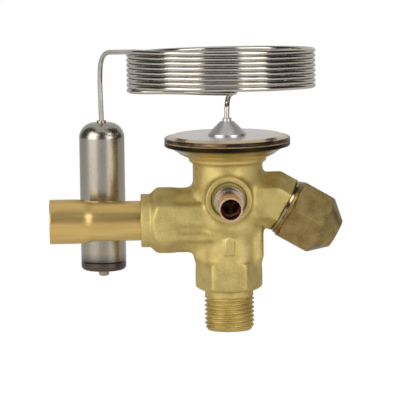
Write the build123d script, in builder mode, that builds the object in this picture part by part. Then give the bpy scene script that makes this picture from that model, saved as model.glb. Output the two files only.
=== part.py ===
from build123d import *
import math
import os

# Thermostatic expansion valve with external pressure equalisation, in millimetres.
# The origin is the centre of the inlet thread's end face. +Z runs up the valve's axis to the
# power element, +X points to the setting arm, -X to the outlet and -Y to the equaliser stub.

os.makedirs("parts", exist_ok=True)

# Clearances
running_clearance = 0.05
seat_gap = 0.05
seal_gap = 0.05

# Inlet: male flare thread 5/8-18 UNF, cut on the forging's lower end
inlet_thread_r = 7.94
inlet_thread_length = 10.9
inlet_lead_length = 1.6
inlet_end_r = 6.9
inlet_relief_r = 7.7
inlet_bore_r = 5.2
inlet_cone_depth = 1.0

# Lower spanner hexagon, with two corners on the X axis
lower_hex_bottom = 12.9
lower_hex_top = 22.2
lower_hex_flats = 19.0
lower_hex_corner_round = 1.2
lower_hex_bevel = 1.05

# Forged barrel, neck and flange on the valve's axis
barrel_r = 9.4
barrel_drop = 4.9
neck_r = 11.1
neck_drop = 1.9
collar_r = 12.3
collar_drop = 3.3
collar_round = 0.7
flange_thickness = 1.6
flange_r = 15.7
body_rise = 21.5
flash_half_width = 11.1
flash_half_depth = 5.0
flash_round = 2.0
outlet_root_blend = 2.0
boss_root_blend = 1.5
collar_blend = 0.8
mark_pad_width = 3.1
mark_pad_bottom = 25.0
mark_pad_shoulder = 29.4
mark_pad_top = 30.5
mark_pad_height = 0.45

# Outlet arm, along -X
outlet_height = 35.3
outlet_bore_r = 4.5
outlet_hex_flats = 19.0
outlet_hex_corner_round = 2.0
outlet_hex_inner = 16.9
outlet_hex_end = 24.6
outlet_hex_bevel = 2.3
outlet_hex_face_margin = 0.2
outlet_root_half_depth = 8.3
outlet_root_half_height = 10.4
outlet_ring_r = 8.5
outlet_ring_length = 3.2
outlet_seat_depth = 5.0

# Outlet tube, swaged to a solder socket for a 12.7 mm tube
outlet_tube_r = 6.35
outlet_tube_wall = 0.9
outlet_socket_bore_r = 6.42
outlet_socket_wall = 0.68
outlet_socket_mouth = 56.8
outlet_socket_step = 45.2
outlet_socket_neck = 43.3

# Equaliser stub, along -Y
equalizer_rise = 7.7
equalizer_boss_r = 7.35
equalizer_boss_face = 12.4
equalizer_boss_round = 0.8
equalizer_recess_r = 5.65
equalizer_recess_depth = 1.2
equalizer_port_r = 1.3
equalizer_seat_depth = 1.6
equalizer_tube_r = 3.175
equalizer_tube_wall = 0.75
equalizer_socket_bore_r = 3.225
equalizer_socket_wall = 0.53
equalizer_mouth = 35.0
equalizer_socket_step = 27.0
equalizer_socket_neck = 25.8
ferrule_r = 4.7
ferrule_step_r = 4.1
ferrule_length = 4.6
ferrule_step_length = 2.2

# Setting arm: a horizontal hexagon, mitred to the oblique axis
arm_tilt = 30.0
arm_axis_rise = 14.5
arm_hex_corner_r = 9.3
arm_hex_corner_round = 0.8
arm_mitre_x = 14.6
arm_face = 20.5
nipple_r = 7.0
nipple_end = 30.0
gland_bore_r = 4.6
gland_step = 14.2

# Chamber under the diaphragm, and the guide in its floor
chamber_r = 8.25
guide_seat_length = 2.0
guide_bore_r = 2.6

# Power element: two pressed covers welded round a diaphragm
element_r = 20.0
element_rim_bevel = 0.3
sheet = 1.15
lower_cover_hole_r = 9.0
lower_cover_seat_r = 15.4
lower_cover_slope_r = 18.6
lower_cover_height = 2.1
lower_rim_thickness = 1.35
diaphragm_thickness = 0.25
diaphragm_wave = 0.35
diaphragm_flat_r = 9.2
diaphragm_wave_pitch = 2.0
upper_rim_thickness = 1.2
upper_cover_slope_r = 18.7
upper_cover_shoulder_r = 17.4
upper_cover_crown = 0.7
boss_base_r = 6.1
boss_foot = 0.45
boss_shoulder_r = 2.25
boss_shoulder_height = 4.2
boss_bead_r = 1.45
boss_bead_height = 5.3
boss_socket_depth = 2.0
boss_port_r = 0.24

# Capillary tube: an element leg, a close coil and a bulb leg
capillary_r = 0.794
coil_turns = 8
coil_mean_r = 29.2
coil_groove_r = 0.3
coil_center_x = -1.7
coil_center_y = 0.0
coil_rise = 14.6
coil_tilt = 5.2

# Sensing bulb, upright beside the outlet tube
bulb_x = -39.9
bulb_y = 16.0
bulb_r = 7.25
bulb_bottom = 17.5
bulb_top = 65.1
bulb_dome_round = 4.8
bulb_bead_r = 1.5
bulb_bead_height = 0.7
bulb_seam_height = 2.6
bulb_seam_depth = 0.2
bulb_seam_width = 0.5
bulb_foot_round = 1.4
fill_stub_r = 1.7
fill_stub_length = 2.0
fill_stub_bevel = 0.5

# Orifice cartridge and strainer in the inlet bore
cartridge_bore_r = 4.4
cartridge_drop = 1.2
cartridge_length = 9.0
cartridge_flange_r = 5.1
cartridge_flange_length = 1.6
cartridge_inner_r = 3.4
seat_insert_length = 2.6
orifice_r = 1.75
cone_top_r = 1.55
cone_base_r = 2.3
cone_height = 1.6
cone_skirt_r = 3.2
cone_skirt = 1.0
cone_stem_r = 1.1
cone_stem_length = 2.4
cone_lift_gap = 0.05
retainer_length = 1.6
retainer_port_r = 1.6
orifice_spring_r = 2.3
orifice_spring_wire = 0.6
orifice_spring_coils = 4
spring_wire_flat = 0.9
strainer_wall = 0.5
strainer_r = 4.4
strainer_tip_r = 3.0
strainer_rim_r = 5.1
strainer_rim_low = 1.2
strainer_rim_high = 2.2
strainer_shoulder = 2.6
strainer_slot_low = 4.0
strainer_slot_margin = 2.0
strainer_slot_width = 0.9
strainer_slots = 8

# Push rod, thrust pad and the rod's guide and seal
rod_r = 1.5
pad_r = 7.7
pad_thickness = 1.9
pad_gap = 0.1
pad_hub_r = 4.0
pad_hub_length = 1.5
pad_socket_depth = 1.6
guide_flange_r = 4.0
guide_flange_thickness = 0.8
guide_rise = 2.2
guide_collar_r = 3.0
seal_section_r = 0.4
seal_land = 0.5

# Superheat spring, its seat, and the forked plunger that carries the seat
spring_seat_drop = 1.1
spring_seat_thickness = 1.2
spring_seat_rim_r = 8.2
spring_seat_hole_r = 1.9
spring_seat_hub_r = 4.0
spring_seat_hub = 1.2
spring_mean_r = 5.6
spring_wire = 1.5
spring_coils = 3.5
plunger_r = 3.2
plunger_tip_x = -4.2
plunger_slot_end_x = 3.2
plunger_slot_width = 3.5
plunger_tail = 11.6
plunger_thread_r = 1.6

# Setting spindle and its gland
spindle_thread_end = 6.8
spindle_collar_r = 4.3
spindle_collar_length = 1.4
spindle_r = 2.5
spindle_end = 28.4
spindle_slot_width = 1.0
spindle_slot_depth = 1.6
gland_length = 8.0
gland_seal_depth = 1.7
gland_seal_section_r = 0.72
gland_slot_width = 1.4
gland_slot_depth = 1.4

# Cap nut and its seal ring, on the nipple of the setting arm
cap_flats = 19.0
cap_clocking = -7.0
cap_ring_r = 8.9
cap_ring_thickness = 0.8
cap_collar_r = 9.15
cap_collar_length = 0.9
cap_rear_bevel = 0.9
cap_hex_overhang = 2.3
cap_nose_length = 7.0
cap_nose_r = 4.75
cap_bore_clearance = 1.6
cap_bore_cone = 2.6

# Worked-out heights: the body is stacked on the outlet's axis, the element on the body's top
barrel_top = outlet_height - barrel_drop
neck_bottom = outlet_height - neck_drop
equalizer_height = outlet_height + equalizer_rise
arm_axis_height = outlet_height + arm_axis_rise
body_top = outlet_height + body_rise
collar_bottom = body_top - collar_drop
collar_top = body_top - flange_thickness
cartridge_top = outlet_height - outlet_bore_r - cartridge_drop
cartridge_step = cartridge_top - cartridge_length
chamber_floor = outlet_height + outlet_bore_r + guide_seat_length
guide_top = chamber_floor + guide_rise
spring_seat_bottom = arm_axis_height - spring_seat_drop
lower_cover_rim = body_top + lower_cover_height
diaphragm_bottom = lower_cover_rim + lower_rim_thickness
diaphragm_top = diaphragm_bottom + diaphragm_thickness
upper_cover_rim_top = diaphragm_top + upper_rim_thickness
upper_cover_top = upper_cover_rim_top + upper_cover_crown
coil_bottom = upper_cover_top + coil_rise

# Worked-out axes and planes
tilt = math.radians(arm_tilt)
arm_direction = Vector(math.cos(tilt), 0, -math.sin(tilt))
arm_origin = Vector(0, 0, arm_axis_height)
arm_plane = Plane(origin=arm_origin, x_dir=(0, -1, 0), z_dir=arm_direction)
arm_profile_plane = Plane(origin=arm_origin, x_dir=arm_direction, z_dir=(0, -1, 0))
arm_mitre = Vector(arm_mitre_x, 0, arm_axis_height - arm_mitre_x * math.tan(tilt))
mitre_plane = Plane(
    origin=arm_mitre,
    x_dir=(0, 1, 0),
    z_dir=(math.cos(tilt / 2), 0, -math.sin(tilt / 2)),
)
capillary_pitch = 2 * capillary_r
coil_height = coil_turns * capillary_pitch
outlet_axis = Axis((0, 0, outlet_height), (1, 0, 0))
equalizer_axis = Axis((0, 0, equalizer_height), (0, 1, 0))
arm_axis = Axis(arm_origin, arm_direction)


def hexagon_radius(flats):
    return flats / 2 / math.cos(math.pi / 6)


def write(shape, name):
    shape.label = name
    export_step(shape, f"parts/{name}.step")


# Lower spanner hexagon: bevelled by a cone below and above, as a turned end leaves it.
hex_corner_r = hexagon_radius(lower_hex_flats)
with BuildPart() as lower_hexagon:
    with BuildSketch(Plane.XY.offset(lower_hex_bottom)) as section:
        RegularPolygon(radius=hex_corner_r, side_count=6)
        fillet(section.vertices(), radius=lower_hex_corner_round)
    extrude(amount=lower_hex_top - lower_hex_bottom)
    with BuildSketch(Plane.XZ):
        with BuildLine():
            Polyline(
                (0, lower_hex_bottom),
                (hex_corner_r - 2 * lower_hex_bevel, lower_hex_bottom),
                (hex_corner_r, lower_hex_bottom + lower_hex_bevel),
                (hex_corner_r, lower_hex_top),
                (0, lower_hex_top),
                close=True,
            )
        make_face()
    revolve(axis=Axis.Z, mode=Mode.INTERSECT)

# Outlet hexagon, corners up and down, bevelled at its outer end.
outlet_corner_r = hexagon_radius(outlet_hex_flats)
with BuildPart() as outlet_hexagon:
    with BuildSketch(Plane.YZ.offset(-outlet_hex_end)) as section:
        with Locations((0, outlet_height)):
            RegularPolygon(radius=outlet_corner_r, side_count=6, rotation=90)
        fillet(section.vertices(), radius=outlet_hex_corner_round)
    extrude(amount=outlet_hex_end - outlet_hex_inner)
    with BuildSketch(Plane.XZ):
        with BuildLine():
            Polyline(
                (-outlet_hex_end, outlet_height),
                (-outlet_hex_end, outlet_height + outlet_ring_r + outlet_hex_face_margin),
                (-outlet_hex_end + outlet_hex_bevel, outlet_height + outlet_corner_r),
                (-outlet_hex_inner, outlet_height + outlet_corner_r),
                (-outlet_hex_inner, outlet_height),
                close=True,
            )
        make_face()
    revolve(axis=outlet_axis, mode=Mode.INTERSECT)

# Setting arm: the horizontal and the oblique hexagon meet on the mitre plane.
with BuildPart() as arm_stub:
    with BuildSketch(Plane.YZ) as section:
        with Locations((0, arm_mitre.Z)):
            RegularPolygon(radius=arm_hex_corner_r, side_count=6, rotation=90)
        fillet(section.vertices(), radius=arm_hex_corner_round)
    extrude(amount=2 * arm_mitre_x)
    split(bisect_by=mitre_plane, keep=Keep.BOTTOM)
with BuildPart() as arm_oblique:
    with BuildSketch(arm_plane) as section:
        RegularPolygon(radius=arm_hex_corner_r, side_count=6, rotation=90)
        fillet(section.vertices(), radius=arm_hex_corner_round)
    extrude(amount=arm_face)
    split(bisect_by=mitre_plane, keep=Keep.TOP)

# Valve body: one brass forging, machined at its ends and bored along four axes.
with BuildPart() as valve_body:
    with BuildSketch(Plane.XZ):
        with BuildLine():
            Polyline(
                (0, 0),
                (inlet_end_r, 0),
                (inlet_thread_r, inlet_lead_length),
                (inlet_thread_r, inlet_thread_length),
                (inlet_relief_r, inlet_thread_length + inlet_thread_r - inlet_relief_r),
                (inlet_relief_r, lower_hex_top),
                (barrel_r, lower_hex_top),
                (barrel_r, barrel_top),
                (neck_r, neck_bottom),
                (neck_r, collar_bottom),
                (collar_r, collar_bottom + collar_round),
                (collar_r, collar_top),
                (flange_r, body_top),
                (0, body_top),
                close=True,
            )
        make_face()
    revolve(axis=Axis.Z)
    add(lower_hexagon.part)
    with BuildSketch(Plane.XY.offset(lower_hex_top)) as section:
        Rectangle(2 * flash_half_width, 2 * flash_half_depth)
        fillet(section.vertices(), radius=flash_round)
    extrude(amount=neck_bottom - lower_hex_top)
    with BuildSketch(Plane.YZ):
        with Locations((0, outlet_height)):
            Ellipse(outlet_root_half_depth, outlet_root_half_height)
    extrude(amount=-outlet_hex_inner)
    root_edges = valve_body.edges(Select.LAST).filter_by_position(Axis.X, -neck_r, 0)
    root_edges = root_edges.filter_by_position(Axis.Z, outlet_height, body_top)
    fillet(root_edges, radius=outlet_root_blend)
    add(outlet_hexagon.part)
    with BuildSketch(Plane.YZ.offset(-outlet_hex_end)):
        with Locations((0, outlet_height)):
            Circle(outlet_ring_r)
    extrude(amount=-outlet_ring_length)
    add(arm_stub.part)
    add(arm_oblique.part)
    with BuildSketch(Plane.YZ) as section:
        with Locations((-equalizer_boss_face, equalizer_height)):
            Rectangle(equalizer_boss_face, equalizer_boss_r, align=(Align.MIN, Align.MIN))
        fillet(section.vertices().sort_by(Axis.Z)[-2:].sort_by(Axis.Y)[0], equalizer_boss_round)
    revolve(axis=equalizer_axis)
    boss_root = valve_body.edges(Select.LAST).sort_by(SortBy.LENGTH)[-1]
    fillet(boss_root, radius=boss_root_blend)
    collar_edge = valve_body.edges().filter_by_position(Axis.Z, collar_bottom, collar_bottom)
    fillet(collar_edge.sort_by(SortBy.LENGTH)[-1], radius=collar_blend)
    with BuildSketch(Plane.XZ):
        with BuildLine():
            Polyline(
                (-mark_pad_width / 2, mark_pad_bottom),
                (mark_pad_width / 2, mark_pad_bottom),
                (mark_pad_width / 2, mark_pad_shoulder),
                (0, mark_pad_top),
                (-mark_pad_width / 2, mark_pad_shoulder),
                close=True,
            )
        make_face()
    extrude(amount=barrel_r + mark_pad_height)
    # nipple for the cap nut
    with BuildSketch(arm_plane.offset(arm_face)):
        Circle(nipple_r)
    extrude(amount=nipple_end - arm_face)
    # bore on the valve's axis, from the inlet to the chamber under the diaphragm
    with BuildSketch(Plane.XZ):
        with BuildLine():
            Polyline(
                (0, 0),
                (inlet_bore_r + inlet_cone_depth, 0),
                (inlet_bore_r, inlet_cone_depth),
                (inlet_bore_r, cartridge_step),
                (cartridge_bore_r, cartridge_step),
                (cartridge_bore_r, outlet_height),
                (guide_bore_r, outlet_height),
                (guide_bore_r, chamber_floor),
                (chamber_r, chamber_floor),
                (chamber_r, body_top),
                (0, body_top),
                close=True,
            )
        make_face()
    revolve(axis=Axis.Z, mode=Mode.SUBTRACT)
    # outlet bore and the seat of the outlet tube
    with BuildSketch(Plane.XZ):
        with BuildLine():
            Polyline(
                (0, outlet_height),
                (0, outlet_height + outlet_bore_r),
                (-outlet_hex_end - outlet_ring_length + outlet_seat_depth, outlet_height + outlet_bore_r),
                (-outlet_hex_end - outlet_ring_length + outlet_seat_depth, outlet_height + outlet_tube_r),
                (-outlet_hex_end - outlet_ring_length, outlet_height + outlet_tube_r),
                (-outlet_hex_end - outlet_ring_length, outlet_height),
                close=True,
            )
        make_face()
    revolve(axis=outlet_axis, mode=Mode.SUBTRACT)
    # equaliser port, tube seat and the recess round the ferrule
    with BuildSketch(Plane.YZ):
        with BuildLine():
            Polyline(
                (0, equalizer_height),
                (0, equalizer_height + equalizer_port_r),
                (-equalizer_boss_face + equalizer_recess_depth + equalizer_seat_depth,
                 equalizer_height + equalizer_port_r),
                (-equalizer_boss_face + equalizer_recess_depth + equalizer_seat_depth,
                 equalizer_height + equalizer_tube_r),
                (-equalizer_boss_face + equalizer_recess_depth, equalizer_height + equalizer_tube_r),
                (-equalizer_boss_face + equalizer_recess_depth, equalizer_height + equalizer_recess_r),
                (-equalizer_boss_face, equalizer_height + equalizer_recess_r),
                (-equalizer_boss_face, equalizer_height),
                close=True,
            )
        make_face()
    revolve(axis=equalizer_axis, mode=Mode.SUBTRACT)
    # plunger bore and gland bore on the oblique axis
    with BuildSketch(arm_profile_plane):
        with BuildLine():
            Polyline(
                (chamber_r / 2, 0),
                (chamber_r / 2, plunger_r + running_clearance),
                (gland_step, plunger_r + running_clearance),
                (gland_step, gland_bore_r),
                (nipple_end, gland_bore_r),
                (nipple_end, 0),
                close=True,
            )
        make_face()
    revolve(axis=arm_axis, mode=Mode.SUBTRACT)
write(valve_body.part, "valve_body")

# Outlet tube: drawn copper tube, swaged to a socket at its mouth.
outlet_seat_x = -outlet_hex_end - outlet_ring_length + outlet_seat_depth
with BuildPart() as outlet_tube:
    with BuildSketch(Plane.XZ):
        with BuildLine():
            Polyline(
                (outlet_seat_x, outlet_height + outlet_tube_r - outlet_tube_wall),
                (outlet_seat_x, outlet_height + outlet_tube_r),
                (-outlet_socket_neck, outlet_height + outlet_tube_r),
                (-outlet_socket_step, outlet_height + outlet_socket_bore_r + outlet_socket_wall),
                (-outlet_socket_mouth, outlet_height + outlet_socket_bore_r + outlet_socket_wall),
                (-outlet_socket_mouth, outlet_height + outlet_socket_bore_r),
                (-outlet_socket_step, outlet_height + outlet_socket_bore_r),
                (-outlet_socket_neck, outlet_height + outlet_tube_r - outlet_tube_wall),
                close=True,
            )
        make_face()
    revolve(axis=outlet_axis)
write(outlet_tube.part, "outlet_tube")

# Equaliser tube: seated in the boss, swaged to a solder socket at its mouth.
equalizer_seat_y = -equalizer_boss_face + equalizer_recess_depth + equalizer_seat_depth
with BuildPart() as equalizer_tube:
    with BuildSketch(Plane.YZ):
        with BuildLine():
            Polyline(
                (equalizer_seat_y, equalizer_height + equalizer_tube_r - equalizer_tube_wall),
                (equalizer_seat_y, equalizer_height + equalizer_tube_r),
                (-equalizer_socket_neck, equalizer_height + equalizer_tube_r),
                (-equalizer_socket_step,
                 equalizer_height + equalizer_socket_bore_r + equalizer_socket_wall),
                (-equalizer_mouth, equalizer_height + equalizer_socket_bore_r + equalizer_socket_wall),
                (-equalizer_mouth, equalizer_height + equalizer_socket_bore_r),
                (-equalizer_socket_step, equalizer_height + equalizer_socket_bore_r),
                (-equalizer_socket_neck, equalizer_height + equalizer_tube_r - equalizer_tube_wall),
                close=True,
            )
        make_face()
    revolve(axis=equalizer_axis)
write(equalizer_tube.part, "equalizer_tube")

# Ferrule: stepped steel collar, brazed round the equaliser tube in the boss's recess.
ferrule_foot_y = -equalizer_boss_face + equalizer_recess_depth
with BuildPart() as equalizer_ferrule:
    with BuildSketch(Plane.YZ):
        with BuildLine():
            Polyline(
                (ferrule_foot_y, equalizer_height + equalizer_tube_r),
                (ferrule_foot_y, equalizer_height + ferrule_r),
                (ferrule_foot_y - ferrule_length, equalizer_height + ferrule_r),
                (ferrule_foot_y - ferrule_length, equalizer_height + ferrule_step_r),
                (ferrule_foot_y - ferrule_length - ferrule_step_length, equalizer_height + ferrule_step_r),
                (ferrule_foot_y - ferrule_length - ferrule_step_length,
                 equalizer_height + equalizer_tube_r),
                close=True,
            )
        make_face()
    revolve(axis=equalizer_axis)
write(equalizer_ferrule.part, "equalizer_ferrule")

# Lower cover of the power element: pressed sheet, seated on the forging's flange.
with BuildPart() as lower_cover:
    with BuildSketch(Plane.XZ) as section:
        with BuildLine():
            Polyline(
                (lower_cover_hole_r, body_top),
                (lower_cover_seat_r, body_top),
                (lower_cover_slope_r, lower_cover_rim),
                (element_r, lower_cover_rim),
                (element_r, diaphragm_bottom),
                (lower_cover_slope_r - sheet / 2, diaphragm_bottom),
                (lower_cover_seat_r - sheet / 2, body_top + sheet),
                (lower_cover_hole_r, body_top + sheet),
                close=True,
            )
        make_face()
        chamfer(section.vertices().group_by(Axis.X)[-1], length=element_rim_bevel)
    revolve(axis=Axis.Z)
write(lower_cover.part, "element_lower_cover")

# Diaphragm: thin corrugated disc, welded between the two rims.
wave_r = [diaphragm_flat_r + ring * diaphragm_wave_pitch for ring in range(4)]
with BuildPart() as diaphragm:
    with BuildSketch(Plane.XZ):
        with BuildLine():
            under = Polyline(
                (0, diaphragm_bottom),
                (wave_r[0], diaphragm_bottom),
                (wave_r[1], diaphragm_bottom + diaphragm_wave),
                (wave_r[2], diaphragm_bottom),
                (wave_r[3], diaphragm_bottom + diaphragm_wave),
                (lower_cover_slope_r - sheet / 2, diaphragm_bottom),
                (element_r - element_rim_bevel, diaphragm_bottom),
            )
            Line(under @ 1, under @ 1 + Vector(0, diaphragm_thickness))
            Polyline(
                (element_r - element_rim_bevel, diaphragm_top),
                (lower_cover_slope_r - sheet / 2, diaphragm_top),
                (wave_r[3], diaphragm_top + diaphragm_wave),
                (wave_r[2], diaphragm_top),
                (wave_r[1], diaphragm_top + diaphragm_wave),
                (wave_r[0], diaphragm_top),
                (0, diaphragm_top),
                (0, diaphragm_bottom),
            )
        make_face()
    revolve(axis=Axis.Z)
write(diaphragm.part, "diaphragm")

# Upper cover: pressed sheet that holds the charge over the diaphragm.
with BuildPart() as upper_cover:
    with BuildSketch(Plane.XZ) as section:
        with BuildLine():
            Polyline(
                (capillary_r, upper_cover_top - sheet),
                (upper_cover_shoulder_r - sheet / 2, upper_cover_top - sheet),
                (upper_cover_slope_r - sheet / 2, diaphragm_top),
                (element_r, diaphragm_top),
                (element_r, upper_cover_rim_top),
                (upper_cover_slope_r, upper_cover_rim_top),
                (upper_cover_shoulder_r, upper_cover_top),
                (capillary_r, upper_cover_top),
                close=True,
            )
        make_face()
        chamfer(section.vertices().group_by(Axis.X)[-1], length=element_rim_bevel)
    revolve(axis=Axis.Z)
write(upper_cover.part, "element_upper_cover")

# Capillary boss: turned cone welded on the upper cover, with the capillary brazed into it.
boss_top = upper_cover_top + boss_bead_height
with BuildPart() as capillary_boss:
    with BuildSketch(Plane.XZ):
        with BuildLine():
            Polyline(
                (boss_port_r, upper_cover_top),
                (boss_base_r, upper_cover_top),
                (boss_base_r, upper_cover_top + boss_foot),
                (boss_shoulder_r, upper_cover_top + boss_shoulder_height),
                (boss_bead_r, upper_cover_top + boss_shoulder_height),
                (boss_bead_r, boss_top),
                (capillary_r, boss_top),
                (capillary_r, boss_top - boss_socket_depth),
                (boss_port_r, boss_top - boss_socket_depth),
                close=True,
            )
        make_face()
    revolve(axis=Axis.Z)
write(capillary_boss.part, "capillary_boss")

# Capillary coil: the close turns lie on each other, so they are one ring with a ridge a turn.
tilt_x = math.radians(coil_tilt)
coil_normal = Vector(0, math.sin(tilt_x), math.cos(tilt_x))
coil_side = Vector(0, -math.cos(tilt_x), math.sin(tilt_x))
coil_origin = Vector(coil_center_x, coil_center_y, coil_bottom)
coil_profile_plane = Plane(origin=coil_origin, x_dir=(1, 0, 0), z_dir=coil_side)
with BuildPart() as capillary_coil:
    with BuildSketch(coil_profile_plane):
        with BuildLine():
            outer = [(coil_mean_r + coil_groove_r, 0)]
            for turn in range(coil_turns):
                low = turn * capillary_pitch
                outer.append((coil_mean_r + capillary_r, low + capillary_pitch / 2))
                outer.append((coil_mean_r + coil_groove_r, low + capillary_pitch))
            Polyline(
                *outer,
                (coil_mean_r - capillary_r, coil_height),
                (coil_mean_r - capillary_r, 0),
                close=True,
            )
        make_face()
    revolve(axis=Axis(coil_origin, coil_normal))
write(capillary_coil.part, "capillary_coil")


def cord_tube(points):
    """Sweep the capillary's section along straight runs joined by tangent arcs."""
    route = [Vector(*point) for point in points]
    runs = [b - a for a, b in zip(route, route[1:])]
    radii = []
    for before, after in zip(runs, runs[1:]):
        half_turn = math.radians(before.get_angle(after)) / 2
        radii.append(0.45 * min(before.length, after.length) / math.tan(half_turn))
    print("arc radii", [round(radius, 1) for radius in radii])
    with BuildPart() as tube:
        with BuildLine() as path:
            FilletPolyline(*route, radius=radii)
        with BuildSketch(Plane(origin=route[0], z_dir=runs[0])):
            Circle(capillary_r)
        sweep(path=path.line)
    length = sum(edge.length for edge in path.line.edges())
    share = tube.part.volume / (math.pi * capillary_r**2 * length)
    print("tube length", round(length, 1), "volume share", round(share, 4))
    return tube.part


# Element leg: up from the boss, over in a tight fold, and out to the coil's lowest turn.
element_leg_points = [
    (0, 0, boss_top - boss_socket_depth),
    (0, 0, 69.4),
    (0.1, 0.5, 72.4),
    (0.5, 2.2, 74.7),
    (1.9, 2.5, 76.1),
    (2.5, 0.3, 76.4),
    (1.2, -3.0, 76.5),
    (-2.2, -7.2, 76.7),
    (-7.2, -11.2, 77.1),
    (-13.2, -14.0, 77.5),
    (-19.8, -14.3, 77.4),
    (-25.6, -11.4, 77.1),
    (-29.3, -6.6, 76.75),
]
element_leg = cord_tube(element_leg_points)
write(element_leg, "capillary_element_leg")

# Bulb leg: leaves the top turn at a tangent and bends down into the bulb's bead.
bulb_leg_points = [
    (-28.1, -12.9, 90.1),
    (-30.4, -7.3, 90.2),
    (-32.8, -1.4, 90.05),
    (-35.2, 4.4, 89.6),
    (-37.4, 9.8, 88.4),
    (-39.1, 13.9, 85.0),
    (-39.8, 15.8, 79.8),
    (-39.85, 15.95, 74.4),
    (bulb_x, bulb_y, bulb_top + bulb_bead_height),
]
bulb_leg = cord_tube(bulb_leg_points)
write(bulb_leg, "capillary_bulb_leg")

# Sensing bulb: a drawn can, seam-welded to its end cap and sealed at the fill stub.
with BuildPart() as sensing_bulb:
    seam_low = bulb_bottom + bulb_seam_height
    with BuildSketch(Plane.XZ):
        with BuildLine():
            foot = Polyline(
                (0, bulb_bottom - fill_stub_length),
                (fill_stub_r - fill_stub_bevel, bulb_bottom - fill_stub_length),
                (fill_stub_r, bulb_bottom - fill_stub_length + fill_stub_bevel),
                (fill_stub_r, bulb_bottom),
                (bulb_r - bulb_foot_round, bulb_bottom),
            )
            RadiusArc(foot @ 1, (bulb_r, bulb_bottom + bulb_foot_round), -bulb_foot_round)
            wall = Polyline(
                (bulb_r, bulb_bottom + bulb_foot_round),
                (bulb_r, seam_low),
                (bulb_r - bulb_seam_depth, seam_low + bulb_seam_width / 2),
                (bulb_r, seam_low + bulb_seam_width),
                (bulb_r, bulb_top - bulb_dome_round),
            )
            RadiusArc(wall @ 1, (bulb_r - bulb_dome_round, bulb_top), -bulb_dome_round)
            Polyline(
                (bulb_r - bulb_dome_round, bulb_top),
                (bulb_bead_r, bulb_top),
                (bulb_bead_r, bulb_top + bulb_bead_height),
                (0, bulb_top + bulb_bead_height),
                (0, bulb_bottom - fill_stub_length),
            )
        make_face()
    revolve(axis=Axis.Z)
sensing_bulb_at_place = sensing_bulb.part.moved(Location((bulb_x, bulb_y, 0)))
write(sensing_bulb_at_place, "sensing_bulb")

# Orifice cartridge: brass sleeve pushed up the inlet bore, closed by the seat insert.
with BuildPart() as orifice_housing:
    with BuildSketch(Plane.XZ):
        with BuildLine():
            Polyline(
                (cartridge_inner_r, cartridge_step - cartridge_flange_length),
                (cartridge_flange_r, cartridge_step - cartridge_flange_length),
                (cartridge_flange_r, cartridge_step),
                (cartridge_bore_r - seat_gap, cartridge_step),
                (cartridge_bore_r - seat_gap, cartridge_top),
                (cartridge_inner_r, cartridge_top),
                close=True,
            )
        make_face()
    revolve(axis=Axis.Z)
write(orifice_housing.part, "orifice_housing")

# Orifice seat: hard insert with the metering hole, which the cone closes from below.
seat_low = cartridge_top - seat_insert_length
with BuildPart() as orifice_seat:
    with BuildSketch(Plane.XZ):
        with BuildLine():
            Polyline(
                (cone_base_r, seat_low),
                (cartridge_inner_r, seat_low),
                (cartridge_inner_r, cartridge_top),
                (orifice_r, cartridge_top),
                (orifice_r, seat_low + cone_base_r - orifice_r),
                close=True,
            )
        make_face()
    revolve(axis=Axis.Z)
write(orifice_seat.part, "orifice_seat")

# Valve cone: seals in the insert, is guided by its skirt and pushed down by the rod.
cone_top = seat_low + cone_base_r - cone_top_r
with BuildPart() as valve_cone:
    with BuildSketch(Plane.XZ):
        with BuildLine():
            Polyline(
                (0, cone_top - cone_lift_gap),
                (cone_top_r, cone_top - cone_lift_gap),
                (cone_base_r, seat_low - cone_lift_gap),
                (cone_skirt_r, seat_low - cone_lift_gap),
                (cone_skirt_r, seat_low - cone_skirt),
                (cone_stem_r, seat_low - cone_skirt),
                (cone_stem_r, seat_low - cone_skirt - cone_stem_length),
                (0, seat_low - cone_skirt - cone_stem_length),
                close=True,
            )
        make_face()
    revolve(axis=Axis.Z)
write(valve_cone.part, "valve_cone")

# Spring retainer: disc crimped into the sleeve's lower end, with the inlet port.
retainer_low = cartridge_step - cartridge_flange_length
with BuildPart() as spring_retainer:
    with BuildSketch(Plane.XY.offset(retainer_low)):
        Circle(cartridge_inner_r)
        Circle(retainer_port_r, mode=Mode.SUBTRACT)
    extrude(amount=retainer_length)
write(spring_retainer.part, "spring_retainer")


def coil_spring(low, high, mean_r, wire, coils):
    """Square-section compression spring between two flat seats."""
    pitch = (high - low - wire) / coils
    with BuildPart() as spring:
        with BuildLine(Plane.XY.offset(low + wire / 2)) as path:
            Helix(pitch=pitch, height=pitch * coils, radius=mean_r)
        with BuildSketch(Plane(origin=path.line @ 0, z_dir=path.line % 0)):
            Rectangle(wire * spring_wire_flat, wire * spring_wire_flat)
        sweep(path=path.line, is_frenet=True)
    return spring.part


# Orifice spring: light coil that holds the cone on its seat.
orifice_spring = coil_spring(
    retainer_low + retainer_length + seat_gap,
    seat_low - cone_skirt - seat_gap,
    orifice_spring_r,
    orifice_spring_wire,
    orifice_spring_coils,
)
write(orifice_spring, "orifice_spring")

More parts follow.
